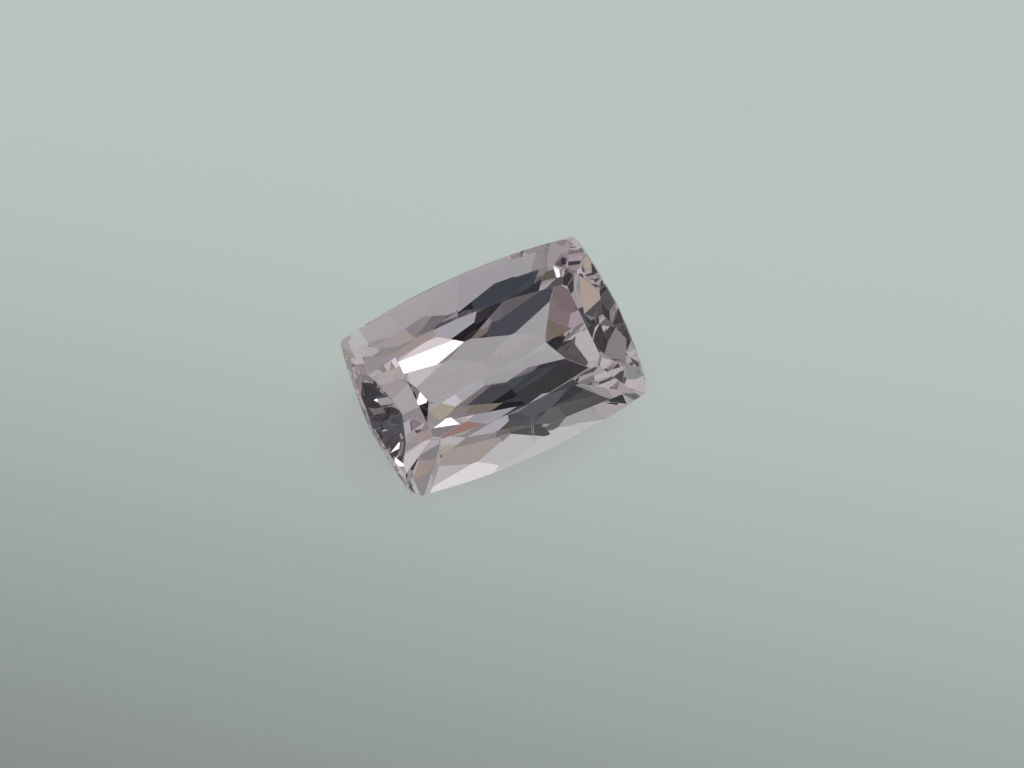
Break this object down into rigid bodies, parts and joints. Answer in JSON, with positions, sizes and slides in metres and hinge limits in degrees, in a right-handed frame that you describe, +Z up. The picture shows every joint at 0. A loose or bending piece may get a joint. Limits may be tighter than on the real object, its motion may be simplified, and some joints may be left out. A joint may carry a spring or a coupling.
{
  "type": "cut kunzite gemstone",
  "caption": "Loose faceted kunzite, pale pink and see-through, in a rectangular cushion cut, lying on a pavilion facet.",
  "frame": {"origin": "on the surface the stone lies on, under the middle of its bounding box", "axes": "+Z up, +X along the stone's length, and the table leans from +Z towards -Y"},
  "size_m": [0.0152, 0.0082, 0.0083],
  "materials": {
    "kunzite_crystal": "polished clear crystal, very pale pink, refractive index 1.67"
  },
  "bodies": {
    "root": {"kunzite": "kunzite_crystal"}
  },
  "joints": []
}
